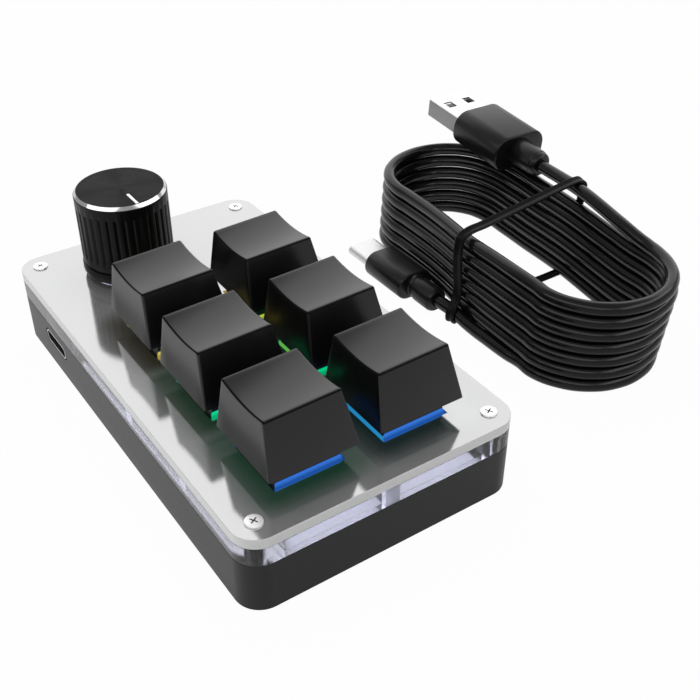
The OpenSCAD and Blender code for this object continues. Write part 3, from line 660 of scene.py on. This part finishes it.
# ---- Fixings and metal parts ----
# Four nickel-plated pan-head screws with a cross recess hold the case together. The small
# steel, brass and moulded parts inside the case have finishes of their own.
screw_bright, place = new_finish("screw_nickel", Metallic=0.55)
lathe_marks = noise(place, 900)
(0.3 + lathe_marks * 0.12).into("Roughness")
tint(lathe_marks, (0.88, 0.88, 0.88), (0.94, 0.94, 0.94)).into("Base Color")
recess_dark, place = new_finish("recess_shadow", Metallic=0.5, Roughness=0.6)
tint(noise(place, 700), (0.03, 0.03, 0.03), (0.05, 0.05, 0.05)).into("Base Color")
SCREW_PLACES = [(x * 46.7, y * 24.3) for x in (-1, 1) for y in (-1, 1)]
SCREW_STEPS = (
    (0.6, -10), (0.99, -9.4), (0.99, -0.05), (1.1, 0), (1.5, 0), (1.58, 0.06), (1.58, 0.22), (1.52, 0.32),
    (1.35, 0.38),
)
PLATE_TOP = 17.0
for number, (screw_x, screw_y) in enumerate(SCREW_PLACES, 1):
    screw = turned("screw_%d" % number, SCREW_STEPS)
    for turn in (30, 120):
        cut_out(screw, block("cross_cutter", (1.5, 0.24, 0.9), (0, 0, 0.38), turn))
    screw.location = mm(screw_x, screw_y, PLATE_TOP)
    settle(screw, 30)
    dress(screw, screw_bright, "screw_steel", "root", "case_screws")
    screw.data.materials.append(recess_dark)
    for face in screw.data.polygons:
        off_axis = math.hypot(face.center.x / MM - screw_x, face.center.y / MM - screw_y)
        height = face.center.z / MM - PLATE_TOP
        on_side, on_bottom = 0 < height < 0.36 and off_axis < 1.2, abs(height + 0.07) < 0.001
        face.material_index = int(on_side or on_bottom)
repaint(screw_bright, "encoder_bracket", "encoder_shaft", "encoder_dome")

pin_brass, place = new_finish("pin_brass", Metallic=0.9, Roughness=0.3)
tint(noise(place, 700), (0.6, 0.42, 0.2), (0.7, 0.5, 0.26)).into("Base Color")
repaint(pin_brass, "switch_pins")

inner_black, place = new_finish("inner_black", Specular_IOR_Level=0.35)
grain(place, 1800, 0.1, 0.0001, 0.45, 0.1)
tint(noise(place, 500), (0.012, 0.012, 0.013), (0.02, 0.02, 0.021)).into("Base Color")
repaint(inner_black, "controller_chip", "encoder_base", "knob_core",
        *("switch_base_%d" % k for k in range(1, 7)))

acetal, place = new_finish("acetal", Roughness=0.4)
tint(noise(place, 400), (0.62, 0.57, 0.46), (0.7, 0.66, 0.55)).into("Base Color")
repaint(acetal, "encoder_rotor")

# ---- Socket mouth ----
# The socket's drawn steel shell comes through the slot in the tray's side, a little
# inside its face, round a black moulded tongue.
SOCKET_X, SOCKET_Z, SOCKET_MOUTH = 31, 7.3, 28.45
mouth = folded_tube("socket_shell", 8, 10.3, 3.0, 1.49, 0.3, 0)
mouth.rotation_euler = (0, 0, math.radians(90))
mouth.location = mm(SOCKET_X, SOCKET_MOUTH, SOCKET_Z)
settle(mouth)
dress(mouth, plated, "socket_steel", "root", "usb_socket_shell")
# The shell's inward faces are painted black, a painted shade inside the mouth.
mouth.data.materials.append(inner_black)
for face in mouth.data.polygons:
    off_axis = face.center - Vector((SOCKET_X * MM, face.center.y, SOCKET_Z * MM))
    inward = face.normal.dot(off_axis) < 0
    face.material_index = int(inward and face.normal.y < 0.5)
tongue = block("socket_tongue", (7.6, 7, 0.8))
round_off(tongue, lambda a, b: a.y > 0 and b.y > 0, 0.25, 2)
tongue.location = mm(SOCKET_X, SOCKET_MOUTH - 4.3, SOCKET_Z)
settle(tongue)
dress(tongue, inner_black, "socket_black", "root", "usb_socket_tongue")

# ---- Lit switches ----
# Each switch has a clear upper housing over a light, and glows in its own colour where it
# stands on the plate. The slider is red acetal.
stem_red, place = new_finish("stem_red", Roughness=0.4)
tint(noise(place, 500), (0.4, 0.03, 0.025), (0.5, 0.05, 0.04)).into("Base Color")
repaint(stem_red, *("switch_stem_%d" % k for k in range(1, 7)))

PITCH = 22
KEY_PLACES = [(-13.5 + PITCH * col, PITCH * row) for row in (0.5, -0.5) for col in (1, 0, -1)]
# Colour on the +Y side and on the -X side of each switch
GLOWS = (
    ((0.004, 0.004, 0.003), (0.62, 0.5, 0.09)), ((0.002, 0.005, 0.003), (0.0, 0.7, 0.28)),
    ((0.002, 0.003, 0.006), (0.016, 0.14, 0.6)), ((0.8, 0.2, 0.12), (0.5, 0.62, 0.06)),
    ((0.2, 0.8, 0.12), (0.0, 0.7, 0.27)), ((0.03, 0.42, 0.85), (0.016, 0.15, 0.62)),
)
for number, ((key_x, key_y), (back_glow, end_glow)) in enumerate(zip(KEY_PLACES, GLOWS), 1):
    # The glow is painted on each housing as emission, in the colour of its side, in a thin band just above
    # the plate.
    lit, place = new_finish("lit_housing_%d" % number, Roughness=0.3, Emission_Strength=0.9)
    across, along = axis(place, 0) * 1000 - key_x, axis(place, 1) * 1000 - key_y
    toward_back = place.node("ShaderNodeClamp", {0: (along - place.math("ABSOLUTE", across, 0)) * 3})
    hue = tint(toward_back, end_glow, back_glow)
    height = axis(place, 2) * 1000 - PLATE_TOP
    reach = 0.85 - toward_back * 0.6
    level = ramp(height, reach, reach + 0.2, 1.0, 0.0) * ramp(height, 0.1, 0.8, 0.5, 1.0)
    tint(level, (0, 0, 0), hue).into("Emission Color")
    tint(level, (0.02, 0.02, 0.022), hue).into("Base Color")
    repaint(lit, "switch_cover_%d" % number)

# Their light spills a little way over the plate round each cap, as a painted glow in the plate's emission,
# and the plate is made more metallic close to the caps as a painted shade.
SPILLS = (
    (0.008, 0.007, 0.001), (0.001, 0.018, 0.006), (0.001, 0.024, 0.011),
    (0.006, 0.005, 0.001), (0.001, 0.012, 0.005), (0.001, 0.009, 0.008),
)
SPILL_FROM, SPILL_FULL, SPILL_END = 8, 1.0, 6.5
blasted.node_tree.nodes["Principled BSDF"].inputs["Emission Strength"].default_value = 1
place = Wire(blasted.node_tree).node("ShaderNodeTexCoord", out="Object")
spill, near_cap_painted_shade = (0, 0, 0), 0
for (key_x, key_y), colour in zip(KEY_PLACES, SPILLS):
    off = [place.math("ABSOLUTE", axis(place, number) * 1000 - middle, 0) - SPILL_FROM
           for number, middle in enumerate((key_x, key_y))]
    off = [place.math("MAXIMUM", measure, 0) for measure in off]
    away = place.math("SQRT", off[0] * off[0] + off[1] * off[1], 0)
    share = ramp(away, SPILL_FULL, SPILL_END, 1.0, 0.0, interpolation_type="SMOOTHSTEP")
    spill = tint(share, spill, colour)
    near_cap_painted_shade = place.math("MAXIMUM", share, near_cap_painted_shade)
spill.into("Emission Color")
(0.77 + near_cap_painted_shade * 0.16).into("Metallic")

lamp_white, place = new_finish("lamp_white", Roughness=0.3, Emission_Strength=1.0)
tint(noise(place, 300), (0.55, 0.6, 0.95), (0.65, 0.7, 1)).into("Emission Color")
repaint(lamp_white, "key_leds")

# ---- Key springs ----
# A fine steel spring stands under each slider, and moves with its key.
for number, (key_x, key_y) in enumerate(KEY_PLACES, 1):
    node = "switch_spring_%d" % number
    spring = copy_of("spring_%d" % number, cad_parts[node])
    bpy.ops.object.mode_set(mode="EDIT")
    bpy.ops.mesh.select_all(action="SELECT")
    bpy.ops.mesh.remove_doubles(threshold=1e-6)
    settle(spring, 60)
    dress(spring, screw_bright, "spring_steel", "key_%d" % number, node)
    "key_%d_press" % number
    key_x * MM
    key_y * MM
    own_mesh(spring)

# ---- Keycaps ----
# Thick-walled sculpted caps in black plastic with a fine satin face. The top is dished
# across and set back from the typist, and a socket inside takes the slider's cross.
CAP_Z = 21.0
CAP_HALF, TOP_HALF_X, TOP_FRONT, TOP_BACK = 8.95, 6.87, -6.49, 8.24
FRONT_H, BACK_H = 11.5, 11.1
DISH, WALL = 0.8, 1.35

cap = begin("cap_form", "cube", size=1)
for corner in cap.data.vertices:
    x, y, z = (1 if c > 0 else -1 for c in corner.co)
    if z < 0:
        corner.co = mm(x * CAP_HALF, y * CAP_HALF, 0)
    elif y > 0:
        corner.co = mm(x * TOP_HALF_X, TOP_BACK, BACK_H)
    else:
        corner.co = mm(x * TOP_HALF_X, TOP_FRONT, FRONT_H)
STRIPS = 14
for cut in range(1, STRIPS):
    bpy.ops.object.mode_set(mode="EDIT")
    bpy.ops.mesh.select_all(action="SELECT")
    bpy.ops.mesh.bisect(plane_co=mm((cut / STRIPS - 0.5) * 2 * TOP_HALF_X, 0, 0), plane_no=(1, 0, 0))
    bpy.ops.object.mode_set(mode="OBJECT")
for corner in cap.data.vertices:
    if corner.co.z > 10 * MM:
        corner.co.z -= DISH * MM * max(0, 1 - (corner.co.x / (TOP_HALF_X * MM)) ** 2)


def rim_or_corner(a, b):
    """The top rim and the four upright corners of the cap."""
    if a.z > 9 * MM and b.z > 9 * MM:
        on_side = abs(abs(a.x) - TOP_HALF_X * MM) < 1e-6 and abs(abs(b.x) - TOP_HALF_X * MM) < 1e-6
        return on_side or abs(a.y - b.y) < 1e-6
    return abs(a.z - b.z) > 5 * MM and abs(abs(a.x) - abs(b.x)) > 0.5 * MM


round_off(cap, rim_or_corner, 0.42, 4, loop_slide=True)
CEILING = (0, 0.9, 8.1)
hollow(cap, lambda face: face.normal.z < -0.9, WALL, *CEILING)
bpy.ops.transform.resize(value=(0.72, 0.78, 1), center_override=mm(*CEILING))
bpy.ops.object.mode_set(mode="OBJECT")
post = begin("socket_post", "cylinder", radius=2.75 * MM, depth=8 * MM, vertices=40, location=mm(0, 0, 4.6))
cut_out(post, *(block("cross_cutter", size, (0, 0, 2.2)) for size in ((4, 1.2, 5), (1.2, 4, 5))))
cap = weld(cap, post)
settle(cap, 30)

cap_satin, place = new_finish("cap_satin", Specular_IOR_Level=0.5)
grain(place, 3500, 0.08, 0.00005, 0.26, 0.05, 2)
tint(noise(place, 60), (0.003, 0.003, 0.0031), (0.005, 0.005, 0.0051)).into("Base Color")
# The sloping faces of the rounded rim round each cap's top are painted near black, a painted dark
# reflection along the rim.
cap_rim, place = new_finish("cap_rim", Specular_IOR_Level=0.06, Roughness=0.3)
tint(noise(place, 60), (0.001, 0.001, 0.001), (0.002, 0.002, 0.002)).into("Base Color")
for number, (key_x, key_y) in enumerate(KEY_PLACES, 1):
    copy = copy_of("cap_%d" % number, cap)
    copy.location = mm(key_x, key_y, CAP_Z)
    settle(copy, 30)
    dress(copy, cap_satin, "cap_black", "key_%d" % number, "keycap_%d" % number)
    copy.data.materials.append(cap_rim)
    for face in copy.data.polygons:
        face.material_index = int(face.center.z > (CAP_Z + 9) * MM and 0.27 < face.normal.z < 0.86)
bpy.data.objects.remove(cap)

# ---- Knob ----
# A turned aluminium cap, anodised black and pressed over a moulded insert: collar, fluted
# grip, plain band, a bright-cut edge and a spun top with a white pointer.
KNOB_X, KNOB_Y, KNOB_Z = 35.8, 7.8, 18.1
KNOB_R, KNOB_H = 9.7, 18.2
FLUTES, STEPS = 34, 8
BORE_R, BORE_DEEP = 6.52, 16.18
profile = (
    (9.28, 0), (9.73, 0.2), (9.88, 0.6), (9.88, 1.8), (9.76, 2.2), (9.4, 2.3), (9.4, 2.55), (9.65, 2.8),
    (9.7, 3.2), (9.7, 4.3), (9.7, 4.6), (9.7, 15.0), (9.7, 15.3), (9.7, 17.4), (9.58, 17.53), (9.08, 18.2),
    (6, 18.2), (3, 18.2), (0.05, 18.2),
)
knob = turned("knob", profile, FLUTES * STEPS)
hollow(knob, lambda face: face.normal.z < -0.9 and face.center.z < 0.01 * MM,
       profile[0][0] - BORE_R, 0, 0, BORE_DEEP)
bpy.ops.object.mode_set(mode="OBJECT")
FLUTE_LOW, FLUTE_HIGH = 4.5, 15.1
FLUTE_DEEP = [0.35 * share for share in (1, 0.5, 0, 0, 0, 0, 0, 0.5)]
for point in knob.data.vertices:
    r = math.hypot(point.co.x, point.co.y)
    if FLUTE_LOW * MM < point.co.z < FLUTE_HIGH * MM and r > 9.5 * MM:
        step = math.atan2(point.co.y, point.co.x) / (2 * math.pi) * FLUTES * STEPS
        inward = 1 - FLUTE_DEEP[round(step) % STEPS] * MM / r
        point.co.x *= inward
        point.co.y *= inward
knob.location = mm(KNOB_X, KNOB_Y, KNOB_Z)
settle(knob, 28)


def lathe_turned(place):
    """X and Y from the knob's axis, and the fine rings that turning leaves round it."""
    across, along = axis(place, 0) - KNOB_X * MM, axis(place, 1) - KNOB_Y * MM
    radius = place.math("SQRT", across * across + along * along, 0)
    rings = place.node("ShaderNodeTexNoise", {"W": radius * 9000, "Scale": 1.0, "Detail": 3},
                       noise_dimensions="1D")
    return across, along, rings


anodised, place = new_finish("black_anodised", Specular_IOR_Level=0.13)
rings = lathe_turned(place)[2]
(0.3 + rings * 0.08).into("Roughness")
tint(rings, (0.003, 0.003, 0.0031), (0.006, 0.006, 0.0061)).into("Base Color")
dress(knob, anodised, "knob_black", "knob", "knob_shell")

spun, place = new_finish("spun_top", Specular_IOR_Level=0.04)
across, along, rings = lathe_turned(place)
place.node("ShaderNodeBump", {"Height": rings, "Strength": 0.6, "Distance": 0.0001}).into("Normal")
(0.28 + rings * 0.1).into("Roughness")
# The spun top is painted lighter and darker in four lobes round the axis, a painted highlight of a spun
# face.
fan = place.math("COSINE", 4 * (place.math("ARCTAN2", along, across) + math.radians(12)), 0)
painted_sheen = place.math("POWER", 0.5 + fan * 0.5, 3)
tint(painted_sheen, (0.007, 0.007, 0.0071), (0.001, 0.001, 0.0011)).into("Base Color")

bright_cut, place = new_finish("bright_cut", Metallic=1.0)
polish = noise(place, 800)
(0.1 + polish * 0.06).into("Roughness")
tint(polish, (0.5, 0.5, 0.5), (0.56, 0.56, 0.56)).into("Base Color")
knob.data.materials.append(bright_cut)
knob.data.materials.append(spun)
for face in knob.data.polygons:
    if face.center.z > (KNOB_Z + 17.55) * MM and face.normal.z > 0.3:
        face.material_index = 1 if face.normal.z < 0.95 else 2

POINTER_L = 4.9
pointer = block("knob_pointer", (POINTER_L, 0.6, 0.2))
round_off(pointer, lambda a, b: abs(a.z - b.z) > 0.1 * MM, 0.12, 3)
pointer.location = mm(KNOB_X - KNOB_R + 0.9 + POINTER_L / 2, KNOB_Y, KNOB_Z + KNOB_H - 0.08)
settle(pointer)
enamel, place = new_finish("white_enamel", Roughness=0.4)
tint(noise(place, 900), (0.82, 0.82, 0.82), (0.9, 0.9, 0.9)).into("Base Color")
dress(pointer, enamel, "knob_black", "knob")

tuple(c * MM for c in route[0])
